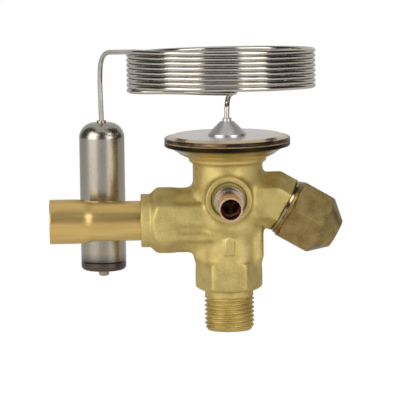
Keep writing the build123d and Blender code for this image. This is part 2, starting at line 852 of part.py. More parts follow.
# Inlet strainer: slotted cup whose rim seats in the inlet bore.
with BuildPart() as inlet_strainer:
    with BuildSketch(Plane.XZ):
        with BuildLine():
            Polyline(
                (0, retainer_low - seat_gap),
                (strainer_tip_r, retainer_low - seat_gap),
                (strainer_r, strainer_shoulder),
                (strainer_rim_r, strainer_rim_high),
                (strainer_rim_r, strainer_rim_low),
                (strainer_r - strainer_wall, strainer_rim_low),
                (strainer_r - strainer_wall, strainer_shoulder),
                (strainer_tip_r - strainer_wall, retainer_low - seat_gap - strainer_wall),
                (0, retainer_low - seat_gap - strainer_wall),
                close=True,
            )
        make_face()
    revolve(axis=Axis.Z)
    with BuildSketch(Plane.XY.offset(strainer_slot_low)):
        with PolarLocations(strainer_r, strainer_slots):
            Rectangle(2 * strainer_r, strainer_slot_width)
        Circle(strainer_wall, mode=Mode.SUBTRACT)
    extrude(amount=retainer_low - strainer_slot_margin - strainer_slot_low, mode=Mode.SUBTRACT)
write(inlet_strainer.part, "inlet_strainer")

# Rod guide: flanged bush pressed into the chamber's floor, with a groove for the rod's seal.
guide_bottom = outlet_height + outlet_bore_r
seal_low = guide_top - seal_land - 2 * seal_section_r
with BuildPart() as rod_guide:
    with BuildSketch(Plane.XZ):
        with BuildLine():
            Polyline(
                (rod_r + running_clearance, guide_bottom),
                (guide_bore_r, guide_bottom),
                (guide_bore_r, chamber_floor),
                (guide_flange_r, chamber_floor),
                (guide_flange_r, chamber_floor + guide_flange_thickness),
                (guide_collar_r, chamber_floor + guide_flange_thickness),
                (guide_collar_r, guide_top),
                (rod_r + running_clearance, guide_top),
                (rod_r + running_clearance, guide_top - seal_land),
                (rod_r + running_clearance + 2 * seal_section_r, guide_top - seal_land),
                (rod_r + running_clearance + 2 * seal_section_r, seal_low),
                (rod_r + running_clearance, seal_low),
                close=True,
            )
        make_face()
    revolve(axis=Axis.Z)
write(rod_guide.part, "rod_guide")

# Rod seal: square rubber ring in the guide's groove.
with BuildPart() as rod_seal:
    with BuildSketch(Plane.XY.offset(seal_low + seal_gap)):
        Circle(rod_r + running_clearance + 2 * seal_section_r - seal_gap)
        Circle(rod_r + running_clearance, mode=Mode.SUBTRACT)
    extrude(amount=2 * (seal_section_r - seal_gap))
write(rod_seal.part, "rod_seal")

# Thrust pad: disc under the diaphragm, with a hub that the push rod is pressed into.
pad_top = diaphragm_bottom - pad_gap
pad_low = pad_top - pad_thickness
with BuildPart() as thrust_pad:
    with BuildSketch(Plane.XZ):
        with BuildLine():
            Polyline(
                (0, pad_top),
                (pad_r, pad_top),
                (pad_r, pad_low),
                (pad_hub_r, pad_low),
                (pad_hub_r, pad_low - pad_hub_length),
                (rod_r, pad_low - pad_hub_length),
                (rod_r, pad_low - pad_hub_length + pad_socket_depth),
                (0, pad_low - pad_hub_length + pad_socket_depth),
                close=True,
            )
        make_face()
    revolve(axis=Axis.Z)
write(thrust_pad.part, "thrust_pad")

# Push rod: ground pin from the thrust pad to the valve cone.
with BuildPart() as push_rod:
    with BuildSketch(Plane.XY.offset(cone_top - cone_lift_gap)):
        Circle(rod_r)
    extrude(amount=pad_low - pad_hub_length + pad_socket_depth - cone_top + cone_lift_gap)
write(push_rod.part, "push_rod")

# Spring seat: flanged washer that the plunger lifts, sliding in the chamber.
spring_seat_top = spring_seat_bottom + spring_seat_thickness
with BuildPart() as spring_seat:
    with BuildSketch(Plane.XZ):
        with BuildLine():
            Polyline(
                (spring_seat_hole_r, spring_seat_bottom),
                (spring_seat_rim_r, spring_seat_bottom),
                (spring_seat_rim_r, spring_seat_top),
                (spring_seat_hub_r, spring_seat_top),
                (spring_seat_hub_r, spring_seat_top + spring_seat_hub),
                (spring_seat_hole_r, spring_seat_top + spring_seat_hub),
                close=True,
            )
        make_face()
    revolve(axis=Axis.Z)
write(spring_seat.part, "spring_seat")

# Superheat spring: between the spring seat and the thrust pad.
superheat_spring = coil_spring(
    spring_seat_top + seat_gap, pad_low - seat_gap, spring_mean_r, spring_wire, spring_coils
)
write(superheat_spring, "superheat_spring")

# Adjusting plunger: slides on the oblique axis; its flat-topped fork straddles the rod.
with BuildPart() as adjusting_plunger:
    with BuildSketch(arm_plane.offset(plunger_tip_x - plunger_r)):
        Circle(plunger_r)
    extrude(amount=plunger_tail - plunger_tip_x + plunger_r)
    with BuildSketch(Plane.XZ):
        with BuildLine():
            Polyline(
                (plunger_tip_x, 0),
                (plunger_tip_x, spring_seat_bottom - seat_gap),
                (body_top, spring_seat_bottom - seat_gap),
                (body_top, 0),
                close=True,
            )
        make_face()
    extrude(amount=2 * plunger_r, both=True, mode=Mode.INTERSECT)
    with BuildSketch(Plane.XY):
        with Locations((plunger_slot_end_x - plunger_slot_width / 2, 0)):
            Circle(plunger_slot_width / 2)
        with Locations((plunger_slot_end_x - plunger_slot_width / 2, 0)):
            Rectangle(2 * neck_r, plunger_slot_width, align=(Align.MAX, Align.CENTER))
    extrude(amount=body_top, mode=Mode.SUBTRACT)
    with BuildSketch(arm_plane):
        Circle(plunger_thread_r)
    extrude(amount=plunger_tail, mode=Mode.SUBTRACT)
write(adjusting_plunger.part, "adjusting_plunger")

# Setting spindle: collar held by the gland nut, thread in the plunger, slotted outer end.
collar_low = gland_step + seat_gap
collar_high = collar_low + spindle_collar_length
with BuildPart() as setting_spindle:
    with BuildSketch(arm_profile_plane):
        with BuildLine():
            Polyline(
                (spindle_thread_end, 0),
                (spindle_thread_end, plunger_thread_r - running_clearance),
                (collar_low, plunger_thread_r - running_clearance),
                (collar_low, spindle_collar_r),
                (collar_high, spindle_collar_r),
                (collar_high, spindle_r),
                (spindle_end, spindle_r),
                (spindle_end, 0),
                close=True,
            )
        make_face()
    revolve(axis=arm_axis)
    with BuildSketch(arm_plane.offset(spindle_end)):
        Rectangle(2 * spindle_r, spindle_slot_width)
    extrude(amount=-spindle_slot_depth, mode=Mode.SUBTRACT)
write(setting_spindle.part, "setting_spindle")

# Gland nut: screwed into the nipple over the spindle's collar and seal.
gland_low = collar_high + seat_gap
gland_high = gland_low + gland_length
gland_seal_r = spindle_r + running_clearance + 2 * gland_seal_section_r
with BuildPart() as gland_nut:
    with BuildSketch(arm_profile_plane):
        with BuildLine():
            Polyline(
                (gland_low, gland_seal_r),
                (gland_low, gland_bore_r),
                (gland_high, gland_bore_r),
                (gland_high, spindle_r + running_clearance),
                (gland_low + gland_seal_depth, spindle_r + running_clearance),
                (gland_low + gland_seal_depth, gland_seal_r),
                close=True,
            )
        make_face()
    revolve(axis=arm_axis)
    with BuildSketch(arm_plane.offset(gland_high)):
        Rectangle(2 * nipple_r, gland_slot_width)
    extrude(amount=-gland_slot_depth, mode=Mode.SUBTRACT)
write(gland_nut.part, "gland_nut")

# Spindle seal: square rubber ring in the gland nut's recess.
with BuildPart() as spindle_seal:
    with BuildSketch(arm_plane.offset(gland_low + seal_gap)):
        Circle(gland_seal_r - seal_gap)
        Circle(spindle_r + running_clearance, mode=Mode.SUBTRACT)
    extrude(amount=gland_seal_depth - 2 * seal_gap)
write(spindle_seal.part, "spindle_seal")

# Cap seal ring: bright metal washer between the arm's face and the cap nut.
with BuildPart() as cap_seal_ring:
    with BuildSketch(arm_plane.offset(arm_face + seat_gap)):
        Circle(cap_ring_r)
        Circle(nipple_r + running_clearance, mode=Mode.SUBTRACT)
    extrude(amount=cap_ring_thickness)
write(cap_seal_ring.part, "cap_seal_ring")

# Cap nut: hexagon with a conical nose, bored to cover the nipple.
cap_foot = arm_face + cap_ring_thickness + 2 * seat_gap
cap_corner_r = hexagon_radius(cap_flats)
cap_hex_end = nipple_end + cap_hex_overhang
cap_length_end = cap_hex_end + cap_nose_length
cap_bore_depth = nipple_end + cap_bore_clearance
with BuildPart() as cap_nut:
    with BuildSketch(arm_plane.offset(cap_foot + cap_collar_length)):
        RegularPolygon(radius=cap_corner_r, side_count=6, rotation=cap_clocking)
    extrude(amount=cap_length_end - cap_foot - cap_collar_length)
    with BuildSketch(arm_plane.offset(cap_foot)):
        Circle(cap_collar_r)
    extrude(amount=cap_collar_length)
    with BuildSketch(arm_profile_plane):
        with BuildLine():
            Polyline(
                (cap_foot, 0),
                (cap_foot, cap_collar_r),
                (cap_foot + cap_collar_length, cap_collar_r),
                (cap_foot + cap_collar_length + cap_rear_bevel, cap_corner_r),
                (cap_hex_end, cap_corner_r),
                (cap_length_end, cap_nose_r),
                (cap_length_end, 0),
                close=True,
            )
        make_face()
    revolve(axis=arm_axis, mode=Mode.INTERSECT)
    with BuildSketch(arm_profile_plane):
        with BuildLine():
            Polyline(
                (cap_foot, 0),
                (cap_foot, nipple_r + running_clearance),
                (cap_bore_depth, nipple_r + running_clearance),
                (cap_bore_depth + cap_bore_cone, nipple_r / 2),
                (cap_bore_depth + cap_bore_cone, 0),
                close=True,
            )
        make_face()
    revolve(axis=arm_axis, mode=Mode.SUBTRACT)
write(cap_nut.part, "cap_nut")
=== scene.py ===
import math

import bmesh
import bpy
import numpy as np
from mathutils import Matrix, Vector


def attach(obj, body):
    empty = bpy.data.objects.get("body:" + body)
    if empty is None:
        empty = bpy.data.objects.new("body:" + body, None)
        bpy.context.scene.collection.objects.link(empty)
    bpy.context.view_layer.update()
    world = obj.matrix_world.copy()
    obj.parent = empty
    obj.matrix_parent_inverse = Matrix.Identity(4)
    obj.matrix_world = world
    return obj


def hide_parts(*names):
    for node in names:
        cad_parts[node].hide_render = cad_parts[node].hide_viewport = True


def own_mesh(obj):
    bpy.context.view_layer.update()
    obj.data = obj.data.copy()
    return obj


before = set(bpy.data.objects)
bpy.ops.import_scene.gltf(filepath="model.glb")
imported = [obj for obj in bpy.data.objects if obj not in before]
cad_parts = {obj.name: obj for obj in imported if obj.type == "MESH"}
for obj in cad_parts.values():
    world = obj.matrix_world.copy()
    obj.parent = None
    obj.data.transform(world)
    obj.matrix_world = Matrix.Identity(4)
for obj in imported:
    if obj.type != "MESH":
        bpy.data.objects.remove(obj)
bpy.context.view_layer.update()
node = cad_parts
MM = 0.001

# Studio: a camera with a long lens, a little above the outlet's height and a touch to its side.
# Two tall soft lights stand in front and a weak one hangs above, with dark cards at the camera,
# at the sides and overhead, before a white backdrop.
scene = bpy.context.scene
scene.view_settings.view_transform = "Standard"

aim = Vector((-8.9, 0, 41.6)) * MM
view_distance = 1.3
view_width = 0.1272
view_elevation = 7.5
view_azimuth = -1.0
view_roll = math.radians(-0.8)
square = ((-1, -1), (1, -1), (1, 1), (-1, 1))


def bearing(azimuth, elevation):
    """The way from the valve to a place, in degrees; azimuth counts from the camera's side."""
    a, e = math.radians(azimuth), math.radians(elevation)
    return Vector((math.sin(a) * math.cos(e), -math.cos(a) * math.cos(e), math.sin(e)))


camera_data = bpy.data.cameras.new("camera")
camera_data.lens = camera_data.sensor_width * view_distance / view_width
camera_data.clip_end = 20
camera = bpy.data.objects.new("camera", camera_data)
scene.collection.objects.link(camera)
back_off = bearing(view_azimuth, view_elevation)
camera.matrix_world = (
    Matrix.Translation(aim + back_off * view_distance)
    @ back_off.to_track_quat("Z", "Y").to_matrix().to_4x4()
    @ Matrix.Rotation(view_roll, 4, "Z")
)
scene.camera = camera

room_level = 0.40
mirror_level = 0.62
backdrop_level = 1.0
world = bpy.data.worlds.new("studio")
scene.world = world
world.use_nodes = True
world_nodes = world.node_tree.nodes
world_links = world.node_tree.links
backdrop = world_nodes["Background"]
backdrop.inputs["Color"].default_value = (1, 1, 1, 1)
ray = world_nodes.new("ShaderNodeLightPath")
mirrored = world_nodes.new("ShaderNodeMapRange")
mirrored.inputs["To Min"].default_value = room_level
mirrored.inputs["To Max"].default_value = mirror_level
world_links.new(ray.outputs["Is Glossy Ray"], mirrored.inputs["Value"])
strength = world_nodes.new("ShaderNodeMapRange")
strength.inputs["To Max"].default_value = backdrop_level
world_links.new(ray.outputs["Is Camera Ray"], strength.inputs["Value"])
world_links.new(mirrored.outputs[0], strength.inputs["To Min"])
world_links.new(strength.outputs[0], backdrop.inputs["Strength"])


def soft_light(name, azimuth, elevation, distance, width, height, power):
    """An area light that faces the valve's middle."""
    data = bpy.data.lights.new(name, "AREA")
    data.shape = "RECTANGLE"
    data.size = width
    data.size_y = height
    data.energy = power
    light = bpy.data.objects.new(name, data)
    scene.collection.objects.link(light)
    away = bearing(azimuth, elevation)
    light.matrix_world = (
        Matrix.Translation(aim + away * distance)
        @ away.to_track_quat("Z", "Y").to_matrix().to_4x4()
    )


soft_light("left_softbox", -50, 12, 0.9, 0.75, 1.1, 5.8)
soft_light("right_softbox", 41, 12, 0.9, 0.50, 1.1, 4.0)
soft_light("top_softbox", 0, 80, 0.8, 0.7, 0.7, 1.0)

card_distance = 1.0
matt_roughness = 0.9


def flag(name, azimuth, width, height, grey, elevation=0):
    """A dark card beside the valve, which only its reflections show."""
    card_data = bpy.data.meshes.new(name)
    away = bearing(azimuth, elevation)
    side = Vector((math.cos(math.radians(azimuth)), math.sin(math.radians(azimuth)), 0))
    middle = aim + away * card_distance
    corners = [
        middle + side * x * width / 2 + side.cross(away) * y * height / 2 for x, y in square
    ]
    card_data.from_pydata([tuple(c) for c in corners], [], [(0, 1, 2, 3)])
    card = bpy.data.objects.new(name, card_data)
    scene.collection.objects.link(card)
    paint = bpy.data.materials.new(name)
    paint.use_nodes = True
    shader = paint.node_tree.nodes["Principled BSDF"]
    shader.inputs["Base Color"].default_value = (grey, grey, grey, 1)
    shader.inputs["Roughness"].default_value = matt_roughness
    card_data.materials.append(paint)
    card.visible_camera = False
    card.visible_shadow = False
    card.visible_diffuse = False


flag("camera_side_flag", 0, 0.78, 3.4, 0.02)
flag("right_flag", 93, 1.25, 3.4, 0.03)
flag("left_flag", -105, 0.95, 3.4, 0.05)
flag("ceiling_flag", 0, 1.5, 1.1, 0.03, 72)

floor_mesh = bpy.data.meshes.new("floor")
floor_half = 8.0
floor_level = -0.0002
floor_grey = 0.9
floor_glow = 1.03
floor_glow_share = 0.95
floor_mesh.from_pydata(
    [(x * floor_half, y * floor_half, floor_level) for x, y in square], [], [(0, 1, 2, 3)]
)
floor = bpy.data.objects.new("floor", floor_mesh)
scene.collection.objects.link(floor)
floor_paint = bpy.data.materials.new("white_floor")
floor_paint.use_nodes = True
floor_nodes = floor_paint.node_tree.nodes
floor_links = floor_paint.node_tree.links
matt = floor_nodes["Principled BSDF"]
matt.inputs["Base Color"].default_value = (floor_grey, floor_grey, floor_grey, 1)
matt.inputs["Roughness"].default_value = matt_roughness
matt.inputs["Specular IOR Level"].default_value = 0
glow = floor_nodes.new("ShaderNodeEmission")
floor_ray = floor_nodes.new("ShaderNodeLightPath")
glow_share = floor_nodes.new("ShaderNodeMath")
glow_share.operation = "MULTIPLY"
glow_share.inputs[1].default_value = floor_glow_share
glow.inputs["Strength"].default_value = floor_glow
floor_mix = floor_nodes.new("ShaderNodeMixShader")
floor_links.new(floor_ray.outputs["Is Camera Ray"], glow_share.inputs[0])
floor_links.new(glow_share.outputs[0], floor_mix.inputs["Fac"])
floor_links.new(matt.outputs[0], floor_mix.inputs[1])
floor_links.new(glow.outputs[0], floor_mix.inputs[2])
floor_links.new(floor_mix.outputs[0], floor_nodes["Material Output"].inputs["Surface"])
floor_mesh.materials.append(floor_paint)

# Capillary: one thin stainless tube, brazed into the boss, folded over, wound in eight close
# turns and let down into the sensing bulb. It is stiff and keeps the form that it was bent to.
capillary_d = 1.588
element_leg = [
    (0, 0, 65.7),
    (0, 0, 69.4),
    (0.1, 0.5, 72.4),
    (0.6, 2.0, 74.4),
    (2.0, 2.4, 75.6),
    (2.9, 0.3, 75.8),
    (1.6, -3.0, 75.9),
    (-2.2, -7.2, 76.4),
    (-7.2, -11.2, 77.0),
    (-13.2, -14.0, 77.6),
    (-19.8, -14.3, 77.9),
    (-25.6, -11.4, 77.6),
]
bulb_leg = [
    (-30.4, -7.3, 89.9),
    (-32.8, -1.4, 89.35),
    (-35.2, 4.4, 88.8),
    (-38.3, 11.4, 88.15),
    (-39.9, 15.2, 84.8),
    (-40.2, 15.9, 79.0),
    (-40.1, 16.0, 73.5),
    (-39.9, 16.0, 65.8),
]
coil_mean_r = 29.2
coil_turns = 8
coil_center_x = -1.7
coil_bottom = 77.45
coil_tilt = math.radians(3.1)
coil_points_per_turn = 16
coil_start_angle = 193.4
coil_end_angle = 205 - coil_turns * 360
coil_first_front_angle = -90


def coil_point(angle):
    """A control point of the coil; the spline runs inside its control points."""
    lift = capillary_d * (0.5 + (coil_first_front_angle - angle) / 360)
    r = coil_mean_r / math.cos(math.pi / coil_points_per_turn)
    across, along = r * math.cos(math.radians(angle)), r * math.sin(math.radians(angle))
    return (
        coil_center_x + across,
        along * math.cos(coil_tilt) + lift * math.sin(coil_tilt),
        coil_bottom + lift * math.cos(coil_tilt) - along * math.sin(coil_tilt),
    )


coil_steps = round((coil_start_angle - coil_end_angle) * coil_points_per_turn / 360)
coil_route = [
    coil_point(coil_start_angle + (coil_end_angle - coil_start_angle) * i / coil_steps)
    for i in range(coil_steps + 1)
]
route = element_leg + coil_route + bulb_leg
curve = bpy.data.curves.new("capillary", "CURVE")
curve.dimensions = "3D"
spline = curve.splines.new("NURBS")
spline.points.add(len(route) - 1)
for point, place in zip(spline.points, route):
    point.co = (*(c * MM for c in place), 1)
    point.radius = capillary_d * MM / 2
spline.order_u = 3
spline.use_endpoint_u = True
spline.resolution_u = 4
curve.bevel_depth = 1.0
curve.bevel_resolution = 3
capillary = bpy.data.objects.new("capillary_tube", curve)
scene.collection.objects.link(capillary)
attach(capillary, "valve")
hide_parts("capillary_element_leg", "capillary_coil", "capillary_bulb_leg")


# Stainless of the capillary: drawn tube, bright, with a faint change of tone along its turns.
# Every metal of the valve is made the same way: a drift between two shades, and a fine grain.
noise_middle = 0.5
drift_low, drift_high = 0.3, 0.7
rough_low, rough_high = 0.85, 1.2
bevel_samples = 6
tint_wander = 0.10
mix_a, mix_b, mix_result = 6, 7, 2


def metal(
    name, dark, light, roughness, grain_mm=0.3, drift_mm=6.0, relief_mm=0.0, edge_mm=0.0,
    speckle=0.0,
):
    """Metal on object coordinates: relief is the grain's depth, speckle its tone, edge a round."""
    paint = bpy.data.materials.new(name)
    paint.use_nodes = True
    nodes, links = paint.node_tree.nodes, paint.node_tree.links
    shader = nodes["Principled BSDF"]
    shader.inputs["Metallic"].default_value = 1
    place = nodes.new("ShaderNodeTexCoord")
    place.name = "place"
    drift = nodes.new("ShaderNodeTexNoise")
    drift.name = "drift"
    drift.inputs["Scale"].default_value = 1 / (drift_mm * MM)
    drift.inputs["Detail"].default_value = 3
    links.new(place.outputs["Object"], drift.inputs["Vector"])
    shade = nodes.new("ShaderNodeMix")
    shade.name = "shade"
    shade.data_type = "RGBA"
    shade.inputs[mix_a].default_value = (*dark, 1)
    shade.inputs[mix_b].default_value = (*light, 1)
    spread = nodes.new("ShaderNodeMapRange")
    links.new(spread.outputs[0], shade.inputs[0])
    links.new(shade.outputs[mix_result], shader.inputs["Base Color"])
    grain = nodes.new("ShaderNodeTexNoise")
    grain.name = "grain"
    grain.inputs["Scale"].default_value = 1 / (grain_mm * MM)
    grain.inputs["Detail"].default_value = 2
    links.new(place.outputs["Object"], grain.inputs["Vector"])
    tone = nodes.new("ShaderNodeMath")
    tone.operation = "MULTIPLY_ADD"
    tone.inputs[1].default_value = speckle
    links.new(grain.outputs[0], tone.inputs[0])
    links.new(drift.outputs[0], tone.inputs[2])
    links.new(tone.outputs[0], spread.inputs["Value"])
    spread.inputs["From Min"].default_value = drift_low + noise_middle * speckle
    spread.inputs["From Max"].default_value = drift_high + noise_middle * speckle
    gloss = nodes.new("ShaderNodeMapRange")
    gloss.inputs["To Min"].default_value = roughness * rough_low
    gloss.inputs["To Max"].default_value = roughness * rough_high
    links.new(grain.outputs[0], gloss.inputs["Value"])
    links.new(gloss.outputs[0], shader.inputs["Roughness"])
    normal = None
    if edge_mm:
        edge = nodes.new("ShaderNodeBevel")
        edge.samples = bevel_samples
        edge.inputs["Radius"].default_value = edge_mm * MM
        normal = edge.outputs["Normal"]
    if relief_mm:
        bump = nodes.new("ShaderNodeBump")
        bump.inputs["Strength"].default_value = 1.0
        bump.inputs["Distance"].default_value = relief_mm * MM
        links.new(grain.outputs[0], bump.inputs["Height"])
        if normal:
            links.new(normal, bump.inputs["Normal"])
        normal = bump.outputs["Normal"]
    if normal:
        links.new(normal, shader.inputs["Normal"])
    return paint


def tint(paint, centre, axis, stops):
    """Multiplies the metal's colour by height (axis 2) or radius about centre: heat tint, painted
    shade.
    """
    nodes, links = paint.node_tree.nodes, paint.node_tree.links
    move = nodes.new("ShaderNodeVectorMath")
    move.operation = "SUBTRACT"
    move.inputs[1].default_value = [c * MM for c in centre]
    links.new(nodes["place"].outputs["Object"], move.inputs[0])
    split = nodes.new("ShaderNodeSeparateXYZ")
    links.new(move.outputs[0], split.inputs[0])
    if axis == "radius":
        flat = nodes.new("ShaderNodeCombineXYZ")
        links.new(split.outputs["X"], flat.inputs["X"])
        links.new(split.outputs["Y"], flat.inputs["Y"])
        measure = nodes.new("ShaderNodeVectorMath")
        measure.operation = "LENGTH"
        links.new(flat.outputs[0], measure.inputs[0])
        where = measure.outputs["Value"]
    else:
        where = split.outputs[axis]
    low, high = stops[0][0], stops[-1][0]
    span = nodes.new("ShaderNodeMapRange")
    span.inputs["From Min"].default_value = low * MM
    span.inputs["From Max"].default_value = high * MM
    wander = nodes.new("ShaderNodeMath")
    wander.operation = "MULTIPLY_ADD"
    wander.inputs[1].default_value = tint_wander
    wander.inputs[2].default_value = -tint_wander / 2
    links.new(nodes["drift"].outputs[0], wander.inputs[0])
    total = nodes.new("ShaderNodeMath")
    total.operation = "ADD"
    links.new(where, span.inputs["Value"])
    links.new(span.outputs[0], total.inputs[0])
    links.new(wander.outputs[0], total.inputs[1])
    ramp = nodes.new("ShaderNodeValToRGB")
    links.new(total.outputs[0], ramp.inputs["Fac"])
    points = ramp.color_ramp.elements
    while len(points) < len(stops):
        points.new(0.5)
    for point, (at, colour) in zip(points, stops):
        point.position = (at - low) / (high - low)
        point.color = (*colour, 1)
    blend = nodes.new("ShaderNodeMix")
    blend.data_type = "RGBA"
    blend.blend_type = "MULTIPLY"
    blend.inputs[0].default_value = 1
    links.new(nodes["shade"].outputs[mix_result], blend.inputs[mix_a])
    links.new(ramp.outputs[0], blend.inputs[mix_b])
    links.new(blend.outputs[mix_result], nodes["Principled BSDF"].inputs["Base Color"])


def stretch_grain(paint, scale):
    """Draws grain and drift out along the working direction, as drawing or turning does."""
    nodes, links = paint.node_tree.nodes, paint.node_tree.links
    pull = nodes.new("ShaderNodeMapping")
    pull.inputs["Scale"].default_value = scale
    links.new(nodes["place"].outputs["Object"], pull.inputs["Vector"])
    links.new(pull.outputs[0], nodes["grain"].inputs["Vector"])
    links.new(pull.outputs[0], nodes["drift"].inputs["Vector"])


def dress(name, paint):
    """Puts a finish on a CAD piece's own slots."""
    mesh = node[name].data
    mesh.materials.clear()
    mesh.materials.append(paint)


capillary_steel = metal("drawn_stainless", (0.50, 0.46, 0.41), (0.62, 0.58, 0.52), 0.09, 0.5, 9)
curve.materials.append(capillary_steel)
for name in ("capillary_element_leg", "capillary_coil", "capillary_bulb_leg"):
    dress(name, capillary_steel)

# Valve body: one brass forging, blasted after forging and machined at its ends. A copy of its
# solid takes the forging's soft roots and edges, the flats that run from the outlet's hexagon on
# to the barrel, and the inlet's helical thread in place of the plain cylinder.
thread_top = 10.9
thread_end_r = 6.9
thread_lead = 1.6
thread_r = 7.94
thread_depth = 0.82
thread_pitch = 25.4 / 18
thread_relief_r = 7.7
thread_foot = 12.9
thread_sides = 96
thread_rows = 150
groove_flat = 1.35
groove_round = 1.15
run_out_length = 1.2
root_floor = 0.98
skin = 0.02
wall_inside = 6.6
end_overlap = 0.1

forging = metal(
    "blasted_brass", (0.55, 0.43, 0.155), (0.75, 0.61, 0.25), 0.56,
    grain_mm=0.26, drift_mm=5.0, relief_mm=0.045, speckle=0.9,
)
turned_brass = metal(
    "turned_brass", (0.64, 0.50, 0.10), (0.76, 0.61, 0.17), 0.26, grain_mm=0.4, drift_mm=6.0,
)
# Painted shade: the thread's grooves darken towards their root, so that the crests read bright.
tint(turned_brass, (0, 0, 0), "radius", [
    (7.1, (0.22, 0.18, 0.09)),
    (7.45, (0.60, 0.54, 0.36)),
    (7.85, (1, 1, 1)),
])

voxel = 0.3
blend_passes = 60
edge_passes = 12
root_edge_passes = 34
rib_r = 1.7
rib_depth = 7.7
rib_heights = (-4.45, 0.3, 1.7, 3.1, 4.45)
rib_start = -18.0
rib_length = 15.0
machined_low = 13.3
machined_high = 52.6
machined_fade = 0.8
outlet_height = 35.3
outlet_clear_r = 6.8
outlet_face, outlet_face_fade = -24.4, 0.6
equalizer_height = 43.0
stub_clear_r = 6.2
stub_face, stub_face_fade = -12.2, 0.5
chamber_floor = 40.5
chamber_clear_r = 8.7
arm_slope = math.radians(30)
arm_origin = Vector((0, 0, 49.8))
arm_direction = Vector((math.cos(arm_slope), 0, -math.sin(arm_slope)))
arm_clear_r = 5.2
nipple_start, nipple_clear_r = 19.9, 10.5
pad_half_width, pad_half_height = 2.6, 4.6
pad_height, pad_front = 27.8, -8
root_width = 1.4
foot_height, foot_reach = 22.0, 2.2
outlet_root, outlet_root_reach, outlet_root_half = -14.5, 3.0, 13
arm_root, arm_root_reach = 9.5, 2.6
arm_root_low, arm_root_high = 36, 52
smooth_step = 0.6
settle_step, settle_passes = 0.3, 2
normals_every = 4
joining_distance = 0.002
body_triangles = 160000


def merged(mesh):
    """A copy of a CAD mesh with its faces joined along their edges."""
    copy, pool = mesh.copy(), bmesh.new()
    pool.from_mesh(copy)
    bmesh.ops.remove_doubles(pool, verts=pool.verts, dist=joining_distance * MM)
    pool.to_mesh(copy)
    pool.free()
    return copy


def remeshed(mesh, size):
    """The solid's skin as an even grid of small quads."""
    holder = bpy.data.objects.new("blank", mesh)
    scene.collection.objects.link(holder)
    grid = holder.modifiers.new("grid", "REMESH")
    grid.mode = "VOXEL"
    grid.voxel_size = size * MM
    skin_mesh = bpy.data.meshes.new_from_object(
        holder.evaluated_get(bpy.context.evaluated_depsgraph_get())
    )
    bpy.data.objects.remove(holder)
    return skin_mesh


def forged_share(p):
    """How much of each point is as forged, from 0 on bores and machined ends to 1; p is in mm."""
    x, y, z = p[:, 0], p[:, 1], p[:, 2]
    off_axis = np.hypot(x, y)
    off_outlet = np.hypot(y, z - outlet_height)
    off_stub = np.hypot(x, z - equalizer_height)
    from_arm = p - np.array(arm_origin)
    along = from_arm @ np.array(arm_direction)
    off_arm = np.linalg.norm(from_arm - np.outer(along, np.array(arm_direction)), axis=1)
    share = np.clip((z - machined_low) / machined_fade, 0, 1)
    share *= np.clip((machined_high - z) / machined_fade, 0, 1)
    share *= np.where(off_axis < np.where(z > chamber_floor, chamber_clear_r, wall_inside), 0, 1)
    share *= np.where((x < 0) & (off_outlet < outlet_clear_r), 0, 1)
    share *= np.clip((x - outlet_face) / outlet_face_fade, 0, 1)
    share *= np.where((y < 0) & (off_stub < stub_clear_r), 0, 1)
    share *= np.clip((y - stub_face) / stub_face_fade, 0, 1)
    share *= np.where((along > 0) & (off_arm < arm_clear_r), 0, 1)
    share *= np.where((along > nipple_start) & (off_arm < nipple_clear_r), 0, 1)
    on_pad = (np.abs(x) < pad_half_width) & (np.abs(z - pad_height) < pad_half_height)
    return share * np.where(on_pad & (y < pad_front), 0, 1)


def near(measure, middle, reach):
    """1 round a middle, falling to 0 past its reach."""
    return np.clip(root_width - np.abs(measure - middle) / reach, 0, 1)


def edge_passes_at(p):
    """Passes that may ease edges: most where arms and hexagon run into the barrel; p is in mm."""
    x, z = p[:, 0], p[:, 2]
    foot = near(z, foot_height, foot_reach)
    outlet = near(x, outlet_root, outlet_root_reach)
    outlet = outlet * (np.abs(z - outlet_height) < outlet_root_half)
    arm = near(x, arm_root, arm_root_reach) * (z > arm_root_low) * (z < arm_root_high)
    return edge_passes + root_edge_passes * np.maximum(np.maximum(foot, outlet), arm)


def smooth_all(mesh, share_of, passes, edge_passes_of=None):
    """Draws points towards their neighbours; past its edge passes a point only moves outward."""
    count = len(mesh.vertices)
    flat = np.empty(count * 3)
    mesh.vertices.foreach_get("co", flat)
    p = flat.reshape(-1, 3) / MM
    pairs = np.empty(len(mesh.edges) * 2, dtype=np.int64)
    mesh.edges.foreach_get("vertices", pairs)
    pairs = pairs.reshape(-1, 2)
    ends = np.concatenate([pairs[:, 0], pairs[:, 1]])
    others = np.concatenate([pairs[:, 1], pairs[:, 0]])
    degree = np.bincount(ends, minlength=count)[:, None]
    share = share_of(p)[:, None]
    last_edge_pass = edge_passes_of(p)[:, None] if edge_passes_of else passes
    normals = np.empty(count * 3)
    for turn in range(passes):
        around = np.stack(
            [np.bincount(ends, weights=p[others, k], minlength=count) for k in range(3)], 1
        )
        pull = around / degree - p
        if turn % normals_every == 0:
            mesh.vertices.foreach_set("co", (p * MM).ravel())
            mesh.update()
            mesh.vertices.foreach_get("normal", normals)
        outward = np.sum(pull * normals.reshape(-1, 3), axis=1, keepdims=True) > 0
        gain = np.where(outward | (turn < last_edge_pass), smooth_step, 0.0) * share
        if turn < settle_passes:
            gain = np.maximum(gain, settle_step)
        p = p + gain * pull
    mesh.vertices.foreach_set("co", (p * MM).ravel())
    mesh.update()


